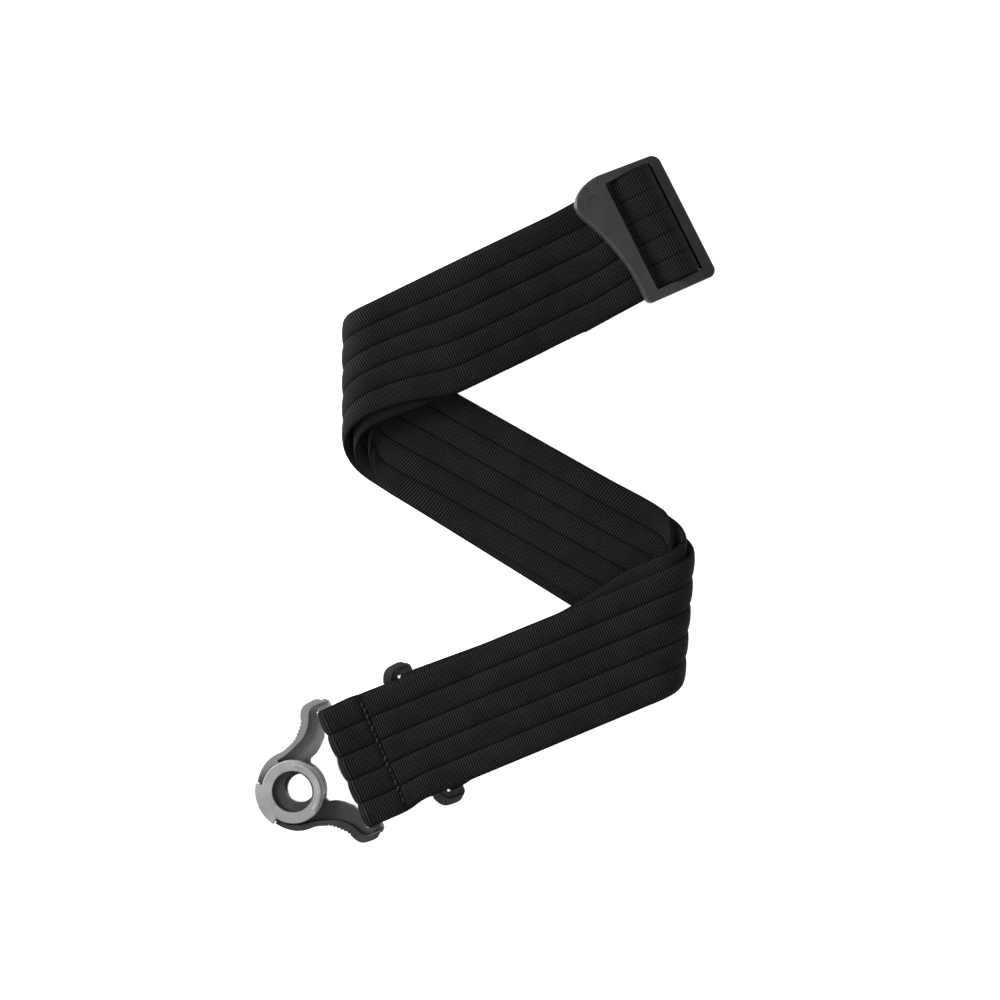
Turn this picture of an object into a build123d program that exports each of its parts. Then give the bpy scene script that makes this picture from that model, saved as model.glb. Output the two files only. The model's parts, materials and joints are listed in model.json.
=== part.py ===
"""Padded guitar strap with two squeeze locks and a slider, folded flat in a Z of three layers.

Millimetres. +Z is up and the strap lies on Z = 0. The layout's own X and Y are moved by
OUTLINE_MIDDLE, so that the middle of the outline comes to the origin.
"""

from build123d import *
import math
import os

OUTLINE_MIDDLE = (0.11, -0.38)

# Webbing
WEB_WIDTH = 50.0
WEB_THICK = 2.4
LAYER_PITCH = 2.6  # from one layer's middle to the next one's
COVER_WALL = 0.5
CHANNELS = 5
PAD_GAP = 0.05  # between a filler strip and the cover
CHANNEL_SEAM = 1.2  # width of the seam between two channels
EDGE_SEAM = 1.0

# Folds of the Z, whose bend lines run nearly along Y
FOLD_OPENING = 2.6  # free height inside the innermost layer
FOLD_STEPS = 8
RIGHT_FOLD_LEAN = 0.08  # sideways lean of the right bend line, per mm of Y
LEVEL_FROM_X = 36.0  # the bottom segment lies level on the middle one from here to the fold
LEVEL_MIDDLE_X = 48.0
LEVEL_TO_X = -16.0  # the upper segment lies level from the fold to here

# Locks: X, Y and Z of the crossbar's middle, turn about Z and tilt of the tip
LOCK_YAW = 23.6
LOCK_A_BAR = (-56.1, -112.0, 13.2)
LOCK_A_TILT = 13.9
LOCK_B_BAR = (-22.0, -97.0, 4.0)
LOCK_B_TILT = 0.0

# Lock, in its own frame: U to the webbing, V across, W out of the front, 0 at the hole's middle
HOLE_R = 8.45
RING_R = 13.3
TIP_R = 16.3
TIP_HALF_ANGLE = 34.6
FRAME_THICK = 2.2
CAP_Z = (6.0, 8.2)
LIP_TOP = 9.3
LIP_R = (10.7, 12.7)
LIP_HALF_ANGLE = 63.0
BAR_U = 25.7
BAR_W = 3.1
BAR_R = 1.3
BAR_HALF_LENGTH = 28.2
LOCK_WEB_HALF = 25.9
SEAM_WEB_HALF = 26.3
PIN_U = -12.5
PIN_R = 1.5
RUNNING_GAP = 0.05
NECK_R = 4.6
LEVER_Z = (2.3, 4.0, 4.1, 5.8)  # lower plate's bottom and top, upper plate's bottom and top
PADDLE_Z = (4.6, 6.4)
WIRE_R = 0.35
COIL_R = 2.2
PEG = (-12.2, 7.0)
PEG_R = 0.7
SERRATIONS = 7
SERRATION_R = 0.5
GRIP_SHARES = (0.47, 0.66)  # the serrated stretch, in shares of the rib's outside curve
CAP_ROUNDING = 0.5
LIP_ROUNDING = 0.6
GRIP_ROUNDING = 0.4

# Slider, in its own frame: A to the free end, B across, W out of the front, 0 on the centre bar
SLIDER_YAW = 26.6
TAIL_YAW = 28.7
SLIDER_TILT = 19.5
SLIDER_BAR = (72.7, 114.3, 6.75)
SLIDER_W = (0.6, 3.6)
SLIDER_BAR_R = 1.4
WINDOW_A = (-14.7, 7.0)
WINDOW_B = 24.5
SLIDER_WEB_HALF = 24.35
WINDOW_CORNER_R = 0.5
SLIDER_ROUNDING = 0.8
DIMPLE_R = 3.0
DIMPLE_DEPTH = 0.3

# Sewing
STITCH_PITCH = 2.5
STITCH_SIZE = (1.7, 0.7, 0.35)
SEAM_A_FROM_BAR = 15.0
TAIL_A_FROM_BAR = 20.5
SLIDER_TAIL = 49.0
SLIDER_SEAM_FROM_BAR = 38.0

# Heights of the layers' middles: the front run, the return run and the back run
MIDDLE_Z = [WEB_THICK / 2 + 0.05 + LAYER_PITCH * i for i in range(3)]
TOP_Z = [2 * MIDDLE_Z[2] + FOLD_OPENING + WEB_THICK - z for z in MIDDLE_Z]


class Stretch:
    """A straight stretch of webbing in plan, by two points of its middle line.

    Near a fold one of its edges, 0 for the low one or 1 for the high one, is moved up by lift:
    wholly at full_x and beyond it, and not at all from none_x on.
    """

    def __init__(self, start, end, edge=0, lift=0.0, full_x=0.0, none_x=1.0):
        self.slope = (end[1] - start[1]) / (end[0] - start[0])
        self.start = start
        self.half = WEB_WIDTH / 2 * math.hypot(1, self.slope)
        self.edge = edge
        self.lift = lift
        self.full_x = full_x
        self.none_x = none_x

    def edges(self, x, lean=0.0, lean_y=0.0):
        """Both edges where a line through (x, lean_y) that leans by lean crosses the webbing."""
        found = []
        for side in (-self.half, self.half):
            height = self.start[1] + side + self.slope * (x - lean * lean_y - self.start[0])
            y = height / (1 - self.slope * lean)
            found.append((x + lean * (y - lean_y), y))
        share = min(max((x - self.full_x) / (self.none_x - self.full_x), 0), 1)
        edge_x, edge_y = found[self.edge]
        found[self.edge] = (edge_x, edge_y + self.lift * (1 - ease(share)))
        return found


# Each run's lines in plan, lowest segment first, and where its folds begin and how far they bulge
BOTTOM_LINE = Stretch((-35.4, -102.6), (47.9, -67.8))
INNER_BOTTOM_LINE = Stretch((-35.4, -102.6), (47.9, -67.8), 1, 6.5, 62.0, 30.0)
UPPER_LINE = Stretch((-35.4, 59.4), (47.9, 100.0), 0, 9.0, -46.0, -6.0)
INNER_UPPER_LINE = Stretch((-35.4, 59.4), (47.9, 100.0), 0, 3.5, -46.0, -6.0)
RUNS = [
    {
        "bottom": BOTTOM_LINE,
        "middle": Stretch((-47.3, 36.1), (76.1, -40.6)),
        "upper": UPPER_LINE,
        "left": (-47.3, 11.0),
        "right": (71.5, 13.6),
    },
    {
        "bottom": INNER_BOTTOM_LINE,
        "middle": Stretch((-45.7, 34.6), (75.0, -35.2)),
        "upper": INNER_UPPER_LINE,
        "left": (-45.7, 8.0),
        "right": (72.5, 9.4),
    },
    {
        "bottom": INNER_BOTTOM_LINE,
        "middle": Stretch((-42.4, 32.3), (71.7, -31.9)),
        "upper": INNER_UPPER_LINE,
        "left": (-42.4, 5.0),
        "right": (71.7, 5.0),
    },
]


def station(edges, z):
    """One line across the webbing's middle surface: its lower and upper edge points."""
    return tuple(Vector(x, y, z) for x, y in edges)


def hermite(start, end, start_slope, end_slope, share):
    """Cubic from start to end with the given slopes per unit of share."""
    square, cube = share**2, share**3
    return (
        start * (2 * cube - 3 * square + 1)
        + start_slope * (cube - 2 * square + share)
        + end * (3 * square - 2 * cube)
        + end_slope * (cube - square)
    )


def fold(top_edges, low_edges, top_slope, low_slope, bulge, heights):
    """Stations round a half-turn from the top layer's edges to the lower layer's."""
    stations = []
    z_middle = (heights[0] + heights[1]) / 2
    z_radius = (heights[0] - heights[1]) / 2
    for step in range(1, FOLD_STEPS):
        share = step / FOLD_STEPS
        angle = math.pi * share
        edges = []
        for top, low in zip(top_edges, low_edges):
            run = math.pi * bulge
            y = hermite(top[1], low[1], top_slope * run, -low_slope * run, share)
            x = top[0] + (low[0] - top[0]) * share + bulge * math.sin(angle)
            edges.append((x, y))
        stations.append(station(edges, z_middle + z_radius * math.cos(angle)))
    return stations


def ease(share):
    """Smooth step from 0 to 1."""
    return share * share * (3 - 2 * share)


def ramp(line, x_from, x_to, z_from, z_to, lean, lean_y, steps=5):
    """Stations along a line whose height eases from one end's to the other's."""
    stations = []
    for step in range(steps + 1):
        share = step / steps
        x = x_from + (x_to - x_from) * share
        z = z_from + (z_to - z_from) * ease(share)
        stations.append(station(line.edges(x, lean, lean_y), z))
    return stations


def z_course(layer, bottom_start, upper_end):
    """Stations of one layer from the locks' end, through both folds, to the slider's end.

    bottom_start and upper_end are (x, z) of the layer where it leaves the locks and the slider.
    """
    run = RUNS[layer]
    middle_z, top_z = MIDDLE_Z[layer], TOP_Z[layer]
    left_x, left_bulge = run["left"]
    right_x, right_bulge = run["right"]
    right_y = run["middle"].edges(right_x)[0][1] + WEB_WIDTH / 2
    bottom = ramp(
        run["bottom"], bottom_start[0], LEVEL_FROM_X, bottom_start[1], top_z, RIGHT_FOLD_LEAN, right_y
    )
    for x in (LEVEL_MIDDLE_X, right_x):
        bottom.append(station(run["bottom"].edges(x, RIGHT_FOLD_LEAN, right_y), top_z))
    right = fold(
        run["bottom"].edges(right_x, RIGHT_FOLD_LEAN, right_y),
        run["middle"].edges(right_x, RIGHT_FOLD_LEAN, right_y),
        run["bottom"].slope,
        run["middle"].slope,
        right_bulge,
        (top_z, middle_z),
    )
    middle = [
        station(run["middle"].edges(right_x, RIGHT_FOLD_LEAN, right_y), middle_z),
        station(run["middle"].edges(left_x), middle_z),
    ]
    left = fold(
        run["upper"].edges(left_x),
        run["middle"].edges(left_x),
        run["upper"].slope,
        run["middle"].slope,
        -left_bulge,
        (top_z, middle_z),
    )
    upper = [station(run["upper"].edges(left_x), top_z)]
    upper += ramp(run["upper"], LEVEL_TO_X, upper_end[0], top_z, upper_end[1], 0.0, 0.0)
    return bottom + right + middle + left[::-1] + upper


def axes_of(yaw, tilt):
    """Unit vectors along the part's length, across it and out of its front."""
    turn, lean = math.radians(yaw), math.radians(tilt)
    along = Vector(math.cos(turn) * math.cos(lean), math.sin(turn) * math.cos(lean), math.sin(lean))
    across = Vector(-math.sin(turn), math.cos(turn), 0)
    return along, across, along.cross(across)


def loop(centre, yaw, tilt, radius, half_width, angles):
    """Stations round a bar: angle 90 is on its front and 180 on the side away from its length."""
    along, across, out = axes_of(yaw, tilt)
    stations = []
    for angle in angles:
        turn = math.radians(angle)
        middle = Vector(*centre) + (along * math.cos(turn) + out * math.sin(turn)) * radius
        stations.append((middle - across * half_width, middle + across * half_width))
    return stations


def straight_from(centre, yaw, distance, z, half_width):
    """Station square to a part's length, at a plan distance from its bar."""
    along, across, _ = axes_of(yaw, 0)
    middle = Vector(*centre) + along * distance
    middle = Vector(middle.X, middle.Y, z)
    return middle - across * half_width, middle + across * half_width


BAR_TO_WEB = WEB_THICK / 2 + 0.3
LOCK_LOOP_R = BAR_R + BAR_TO_WEB
SLIDER_LOOP_R = SLIDER_BAR_R + BAR_TO_WEB
SLIDER_WRAP_R = SLIDER_LOOP_R + LAYER_PITCH
HALF = WEB_WIDTH / 2
LOCK_LOOP_ANGLES = range(270, 89, -20)
WRAP_ANGLES = range(90, -91, -20)
SEAM_A_Z = 14.0
TAIL_Z = MIDDLE_Z[2] + 0.2
TAIL_BEND_A = -7.0
TAIL_BEND_Z = SLIDER_BAR[2] + SLIDER_LOOP_R - 1.3
FRONT_LOW_Z = TAIL_Z + LAYER_PITCH + 0.5
FRONT_ENDS = ((-18.0, SEAM_A_Z), (45.0, FRONT_LOW_Z))
RETURN_ENDS = ((4.0, LOCK_B_BAR[2] + LOCK_LOOP_R), (22.0, MIDDLE_Z[1]))
BACK_ENDS = ((4.0, LOCK_B_BAR[2] - LOCK_LOOP_R), (22.0, MIDDLE_Z[0]))


def webbing_stations():
    """The whole strip's middle surface, from its sewn end at lock A to its sewn end at the slider."""
    lock_a_end = [
        straight_from(LOCK_A_BAR, LOCK_YAW, TAIL_A_FROM_BAR, SEAM_A_Z - LAYER_PITCH, HALF),
        straight_from(LOCK_A_BAR, LOCK_YAW, SEAM_A_FROM_BAR, SEAM_A_Z - LAYER_PITCH, SEAM_WEB_HALF),
    ]
    lock_a_loop = loop(
        LOCK_A_BAR, LOCK_YAW, LOCK_A_TILT, LOCK_LOOP_R, LOCK_WEB_HALF, LOCK_LOOP_ANGLES
    )
    lock_a_top = [straight_from(LOCK_A_BAR, LOCK_YAW, SEAM_A_FROM_BAR, SEAM_A_Z, SEAM_WEB_HALF)]
    slider_wrap = loop(SLIDER_BAR, SLIDER_YAW, 0, SLIDER_WRAP_R, SLIDER_WEB_HALF, WRAP_ANGLES)
    lock_b_loop = loop(
        LOCK_B_BAR, LOCK_YAW, LOCK_B_TILT, LOCK_LOOP_R, LOCK_WEB_HALF, LOCK_LOOP_ANGLES
    )
    slider_loop = loop(
        SLIDER_BAR, SLIDER_YAW, 0, SLIDER_LOOP_R, SLIDER_WEB_HALF, WRAP_ANGLES[::-1]
    )
    slider_front = straight_from(SLIDER_BAR, SLIDER_YAW, WINDOW_A[0], FRONT_LOW_Z, SLIDER_WEB_HALF)
    tail = [straight_from(SLIDER_BAR, SLIDER_YAW, TAIL_BEND_A, TAIL_BEND_Z, SLIDER_WEB_HALF)]
    tail += [
        straight_from(SLIDER_BAR, TAIL_YAW, distance, TAIL_Z, HALF)
        for distance in (WINDOW_A[0] - 2, -SLIDER_TAIL)
    ]
    return (
        lock_a_end
        + lock_a_loop
        + lock_a_top
        + z_course(0, *FRONT_ENDS)
        + [slider_front]
        + slider_wrap
        + z_course(2, *BACK_ENDS)[::-1]
        + lock_b_loop
        + z_course(1, *RETURN_ENDS)
        + slider_loop
        + tail
    )


def normals_of(stations):
    """Unit normal of the strip at each station."""
    middles = [(low + high) * 0.5 for low, high in stations]
    normals = []
    for index, (low, high) in enumerate(stations):
        before = middles[max(index - 1, 0)]
        after = middles[min(index + 1, len(middles) - 1)]
        normals.append((high - low).cross(after - before).normalized())
    return normals


def rings_of(stations, normals, share_from, share_to, out_from, out_to):
    """Four corners at each station of a strip between two shares of the width and two heights."""
    rings = []
    for (low, high), normal in zip(stations, normals):
        start, end = low + (high - low) * share_from, low + (high - low) * share_to
        rings.append(
            [
                start + normal * out_from,
                end + normal * out_from,
                end + normal * out_to,
                start + normal * out_to,
            ]
        )
    return rings


def wall_faces(rings):
    """Faces between neighbouring rings, split in two where four corners aren't in one plane."""
    faces = []
    for ring, following in zip(rings, rings[1:]):
        for corner in range(4):
            other = (corner + 1) % 4
            quad = [ring[corner], ring[other], following[other], following[corner]]
            normal = (quad[1] - quad[0]).cross(quad[3] - quad[0]).normalized()
            if abs((quad[2] - quad[0]).dot(normal)) < 1e-6:
                faces.append(Face(Wire.make_polygon(quad)))
            else:
                faces.append(Face(Wire.make_polygon(quad[:3])))
                faces.append(Face(Wire.make_polygon([quad[0], quad[2], quad[3]])))
    return faces


def strip_solid(outer, inner=None):
    """Closed solid along rings, hollow where inner rings are given."""
    faces = wall_faces(outer)
    if inner:
        faces += wall_faces(inner)
    for end in (0, -1):
        holes = [Wire.make_polygon(inner[end])] if inner else []
        faces.append(Face(Wire.make_polygon(outer[end]), holes))
    solid = Solid(Shell(faces))
    return solid if solid.volume > 0 else Solid(solid.wrapped.Reversed())


def webbing_cover(stations, normals):
    """The woven tube, open at its two cut ends."""
    half = WEB_THICK / 2
    rim = EDGE_SEAM / 2 / WEB_WIDTH
    outer = rings_of(stations, normals, 0, 1, -half, half)
    inner_half = half - COVER_WALL
    inner = rings_of(stations, normals, rim, 1 - rim, -inner_half, inner_half)
    return strip_solid(outer, inner)


def padding(stations, normals, channel):
    """One channel's filler strip."""
    pitch = (WEB_WIDTH - 2 * EDGE_SEAM) / CHANNELS
    start = EDGE_SEAM + pitch * channel + CHANNEL_SEAM / 2
    end = EDGE_SEAM + pitch * (channel + 1) - CHANNEL_SEAM / 2
    half = WEB_THICK / 2 - COVER_WALL - PAD_GAP
    rings = rings_of(stations, normals, start / WEB_WIDTH, end / WEB_WIDTH, -half, half)
    return strip_solid(rings)


def stitches(centre, yaw, distance, z):
    """A row of stitches across the webbing, lying on its surface."""
    along, across, out = axes_of(yaw, 0)
    count = int((WEB_WIDTH - 8) / STITCH_PITCH) + 1
    middle = Vector(*centre) + along * distance
    solids = []
    for index in range(count):
        offset = (index - (count - 1) / 2) * STITCH_PITCH
        place = middle + across * offset
        plane = Plane(origin=(place.X, place.Y, z), x_dir=across, z_dir=out)
        solids.append(plane * Box(*STITCH_SIZE, align=(Align.CENTER, Align.CENTER, Align.MIN)))
    return Compound(children=solids)


# ---- lock ----

RIB_OUTER = [(-13.2, 9.2), (-9.1, 13.8), (-5.2, 16.1), (-1.4, 17.0), (2.1, 17.2), (5.4, 18.1),
             (9.2, 19.9), (12.2, 22.6), (14.3, 25.1), (15.6, 28.0), (17.8, 30.8), (21.9, 31.7),
             (25.2, 31.4), (27.0, 29.9), (28.0, 28.9)]
RIB_INNER = [(22.6, 29.2), (20.0, 27.8), (18.1, 24.4), (16.0, 21.4), (12.3, 18.4), (7.6, 16.5),
             (2.4, 14.8), (-2.1, 14.2), (-7.5, 12.2), (-11.3, 8.6)]
FLANGE = [(-3.0, 12.0), (-1.5, 15.2), (3.0, 16.2), (7.0, 17.4), (12.0, 20.6), (15.0, 24.0),
          (17.4, 28.4), (20.4, 30.6), (27.0, 30.2), (28.2, 28.9), (28.2, 26.4), (21.4, 26.4),
          (21.4, 18.5), (20.0, 15.4), (16.7, 12.3), (14.0, 10.5), (11.0, 9.6), (9.0, 5.0)]


def block(outline, bottom, top):
    """Outline in U and V raised from bottom to top."""
    sketch = make_face(Polyline(*outline, close=True))
    return Pos(0, 0, bottom) * extrude(sketch, amount=top - bottom)


def smooth_rib(bottom, top):
    """The lever's rib and grip, with smooth outside and inside curves and a rounded top edge."""
    outline = [
        Spline(*RIB_OUTER),
        Polyline(RIB_OUTER[-1], RIB_INNER[0]),
        Spline(*RIB_INNER),
        Polyline(RIB_INNER[-1], RIB_OUTER[0]),
    ]
    rib = Pos(0, 0, bottom) * extrude(make_face(outline), amount=top - bottom)
    return fillet(rib.faces().sort_by(Axis.Z)[-1].edges(), GRIP_ROUNDING)


def disc(radius, bottom, top, u=0.0, v=0.0):
    """Upright cylinder."""
    return Pos(u, v, bottom) * Cylinder(
        radius, top - bottom, align=(Align.CENTER, Align.CENTER, Align.MIN)
    )


def sector(inner, outer, middle_angle, half_angle, bottom, top):
    """Part of a ring, by its middle angle and half its spread in degrees."""
    full = disc(outer, bottom, top) - disc(inner, bottom - 1, top + 1)
    reach = 2 * outer
    angles = [middle_angle - half_angle + 2 * half_angle * step / 4 for step in range(5)]
    wedge = [(0.0, 0.0)]
    for angle in angles:
        turn = math.radians(angle)
        wedge.append((reach * math.cos(turn), reach * math.sin(turn)))
    return full & block(wedge, bottom, top)


def mirrored(solid):
    """The same solid on the other side of the lock's middle plane."""
    return mirror(solid, about=Plane.XZ)


def round_bar(radius, length):
    """Round bar along V."""
    return Rot(90, 0, 0) * Cylinder(radius, length)


def lock_frame():
    """Back plate with the button hole, flanges, end plates, crossbar and the cap's two seats."""
    plate = disc(RING_R - 0.3, 0, FRAME_THICK) + sector(
        8.0, TIP_R - 0.3, 180, TIP_HALF_ANGLE - 1, 0, FRAME_THICK
    )
    flange = block(FLANGE, 0, FRAME_THICK)
    cheek = Pos(BAR_U, BAR_HALF_LENGTH - 0.9, 0) * Box(
        5.2, 1.8, BAR_W + BAR_R, align=(Align.CENTER, Align.CENTER, Align.MIN)
    )
    plate += flange + mirrored(flange) + cheek + mirrored(cheek)
    plate -= disc(HOLE_R, -1, FRAME_THICK + 1)
    crossbar = Pos(BAR_U, 0, BAR_W) * round_bar(BAR_R, 2 * BAR_HALF_LENGTH - 2)
    seats = sector(10.6, 13.0, 0, 28, FRAME_THICK, CAP_Z[0])
    seats += sector(15.1, TIP_R - 0.3, 180, 22, FRAME_THICK, CAP_Z[0])
    pin_hole = disc(PIN_R, 0.8, FRAME_THICK + 1, PIN_U)
    return plate + crossbar + seats - pin_hole


def lock_cap():
    """Front ring with the tip's tab, the raised lip and the spring's pocket underneath."""
    low, high = CAP_Z
    cap = disc(RING_R, low, high) + sector(8.0, TIP_R, 180, TIP_HALF_ANGLE, low, high)
    cap = fillet(cap.faces().sort_by(Axis.Z)[-1].edges(), CAP_ROUNDING)
    lip = sector(LIP_R[0], LIP_R[1], 0, LIP_HALF_ANGLE, high - CAP_ROUNDING, LIP_TOP)
    cap += fillet(lip.faces().sort_by(Axis.Z)[-1].edges(), LIP_ROUNDING)
    cap -= disc(HOLE_R, low - 1, high + 1)
    mouth = Cone(HOLE_R, HOLE_R + CAP_ROUNDING, CAP_ROUNDING)
    cap -= Pos(0, 0, high - CAP_ROUNDING / 2) * mouth
    pocket = disc(COIL_R + 2 * WIRE_R, low - 1, low + 1.1, PIN_U)
    legs = Pos(-11.8, 0, low - 1) * Box(
        2.8, 16.0, 2.1, align=(Align.CENTER, Align.CENTER, Align.MIN)
    )
    return cap - pocket - legs - disc(PIN_R, low, low + 1.8, PIN_U)


def jaw_plate(bottom, top):
    """Lever plate round the neck slot: full on its own grip's side, the jaw on the other."""
    high_v = 40.0
    own_side = block([(-20, 0), (8, 0), (8, high_v), (-20, high_v)], bottom, top)
    other_side = block([(-20, 0), (8, 0), (8, -high_v), (-20, -high_v)], bottom, top)
    plate = disc(12.6, bottom, top) & own_side
    plate += disc(10.8, bottom, top) & other_side
    plate += disc(2.3, bottom, top, PIN_U)
    plate += block([(PIN_U, -2.3), (-8.5, -4.5), (-8.5, 4.5), (PIN_U, 2.3)], bottom, top)
    plate += sector(11.0, 15.0, 122, 27, bottom, top)
    slot = disc(NECK_R, bottom - 1, top + 1, NECK_R - 2.3)
    slot += block([(2.3, -NECK_R), (14, -NECK_R), (14, NECK_R), (2.3, NECK_R)], bottom - 1, top + 1)
    slot += disc(6.6, bottom - 1, top + 1, 3.2, 0.8)
    slot += block([(3.2, 0), (14, 0), (14, 7.4), (3.2, 7.4)], bottom - 1, top + 1)
    return plate - slot


def serrations():
    """Small upright grooves across the outside of the grip."""
    grooves = []
    curve = Spline(*RIB_OUTER)
    for index in range(SERRATIONS):
        first, last = GRIP_SHARES
        place = curve.position_at(first + (last - first) * index / (SERRATIONS - 1))
        grooves.append(disc(SERRATION_R, 0, CAP_Z[0], place.X, place.Y))
    return Compound(children=grooves)


def lock_lever(level):
    """Lever with its grip at +V: level 0 has the lower plate and level 1 the upper one."""
    bottom, top = LEVER_Z[2 * level], LEVER_Z[2 * level + 1]
    rib = smooth_rib(LEVER_Z[0], LEVER_Z[3])
    below_paddle = block([(17.2, 20), (30, 20), (30, 33), (17.2, 33)], 0, PADDLE_Z[0])
    rib -= below_paddle
    lever = jaw_plate(bottom, top) + rib
    peg_u, peg_v = PEG
    lever += disc(1.3, LEVER_Z[0], LEVER_Z[3], peg_u, peg_v)
    lever += block([(-13.0, 6.4), (-9.0, 9.0), (-8.0, 11.5), (-12.0, 9.6)], LEVER_Z[0], LEVER_Z[3])
    lever += disc(PEG_R, LEVER_Z[3] - 0.5, CAP_Z[0] + 1.0, peg_u, peg_v)
    return lever - disc(PIN_R + RUNNING_GAP, 0, 9, PIN_U) - serrations()


def hairpin_spring():
    """Wire ring round the pin with a leg to each lever's peg."""
    height = CAP_Z[0] + 0.55
    coil = Pos(PIN_U, 0, height) * Torus(COIL_R, WIRE_R)
    leg_u = PEG[0] + PEG_R + WIRE_R + 0.03
    legs = Pos(leg_u, 0, height) * Rot(90, 0, 0) * Cylinder(WIRE_R, 2 * PEG[1] + 1.2)
    gap = Pos(leg_u, 0, height) * Box(2, 2.4, 2)
    return coil + (legs - gap)


def pivot_pin():
    """Plain pin that both levers turn on."""
    return disc(PIN_R, 0.8, CAP_Z[0] + 1.8, PIN_U)


def lock_place(bar, tilt):
    """Plane that puts a lock's crossbar at a point, with the tip lowered by the tilt."""
    along, _, out = axes_of(LOCK_YAW, tilt)
    origin = Vector(*bar) - along * BAR_U - out * BAR_W
    return Plane(origin=origin, x_dir=along, z_dir=out)


def lock_parts():
    """The pieces of one lock in its own frame."""
    return {
        "frame": lock_frame(),
        "cap": lock_cap(),
        "left_lever": lock_lever(1),
        "right_lever": mirrored(lock_lever(0)),
        "pivot_pin": pivot_pin(),
        "return_spring": hairpin_spring(),
    }


# ---- slider ----

SLIDER_LEFT = [(-16.3, 29.2), (-22.6, 28.2), (-28.2, 25.3), (-31.0, 21.6), (-31.2, 17.8),
               (-29.5, 13.6), (-26.3, 6.1), (-23.4, -3.5), (-21.7, -13.0), (-21.4, -24.0)]
SLIDER_CORNERS = [((-21.6, -28.4), 2.8), ((12.4, -29.7), 3.4), ((12.1, 26.9), 4.2)]
DIMPLE = (-23.1, 19.6)


def slider_outline():
    """The slider's outline in A and B: a curved left side and three rounded corners."""
    corners = [corner for corner, _ in SLIDER_CORNERS]
    sides = Polyline(SLIDER_LEFT[-1], *corners, SLIDER_LEFT[0])
    face = make_face([Spline(*SLIDER_LEFT), sides])
    for corner, radius in SLIDER_CORNERS:
        face = fillet(face.vertices().sort_by_distance(corner)[:1], radius)
    return face


def slider_frame():
    """Moulded adjuster: raised plate with one window, and the centre bar on two lugs below it."""
    low, high = SLIDER_W
    plate = Pos(0, 0, low) * extrude(slider_outline(), amount=high - low)
    middle_a = (WINDOW_A[0] + WINDOW_A[1]) / 2
    window = Box(WINDOW_A[1] - WINDOW_A[0], 2 * WINDOW_B, 20)
    plate -= Pos(middle_a, 0, 0) * fillet(window.edges().filter_by(Axis.Z), WINDOW_CORNER_R)
    plate = fillet(plate.faces().sort_by(Axis.Z)[-1].edges(), SLIDER_ROUNDING)
    plate = fillet(plate.faces().sort_by(Axis.Z)[0].edges(), SLIDER_ROUNDING / 2)
    plate -= disc(DIMPLE_R, high - DIMPLE_DEPTH, high + 1, *DIMPLE)
    bar = round_bar(SLIDER_BAR_R, 2 * WINDOW_B + 4)
    lug = Pos(0, WINDOW_B + 1.3, -SLIDER_BAR_R) * Box(
        6.0, 2.6, low + SLIDER_BAR_R + 0.5, align=(Align.CENTER, Align.CENTER, Align.MIN)
    )
    return plate + bar + lug + mirrored(lug)


def slider_place():
    """Plane that puts the slider's centre bar at its point, with its left side raised."""
    along, _, out = axes_of(SLIDER_YAW, -SLIDER_TILT)
    return Plane(origin=SLIDER_BAR, x_dir=along, z_dir=out)


def main():
    """Write every node's STEP file."""
    os.makedirs("parts", exist_ok=True)
    stations = webbing_stations()
    normals = normals_of(stations)
    nodes = {"webbing_cover": webbing_cover(stations, normals)}
    for channel in range(CHANNELS):
        nodes[f"padding_{channel + 1}"] = padding(stations, normals, channel)
    surface = WEB_THICK / 2 + 0.08
    nodes["lock_a_seam"] = stitches(LOCK_A_BAR, LOCK_YAW, SEAM_A_FROM_BAR, SEAM_A_Z + surface)
    nodes["slider_seam"] = stitches(
        SLIDER_BAR, TAIL_YAW, -SLIDER_SEAM_FROM_BAR, TAIL_Z + surface
    )
    for lock, bar, tilt in (("a", LOCK_A_BAR, LOCK_A_TILT), ("b", LOCK_B_BAR, LOCK_B_TILT)):
        place = lock_place(bar, tilt)
        for name, shape in lock_parts().items():
            nodes[f"lock_{lock}_{name}"] = place * shape
    nodes["slider"] = slider_place() * slider_frame()
    for name, shape in nodes.items():
        export_step(Pos(-OUTLINE_MIDDLE[0], -OUTLINE_MIDDLE[1], 0) * shape, f"parts/{name}.step")
    lengths = [
        ((after[0] + after[1]) * 0.5 - (before[0] + before[1]) * 0.5).length
        for before, after in zip(stations, stations[1:])
    ]
    print("webbing length mm", round(sum(lengths)))


main()
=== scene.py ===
"""Looks of a padded guitar strap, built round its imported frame. Metres, in the frame's own axes."""

import json
import math

import bpy
import numpy as np
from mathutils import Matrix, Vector, noise
from mathutils.bvhtree import BVHTree

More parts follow.
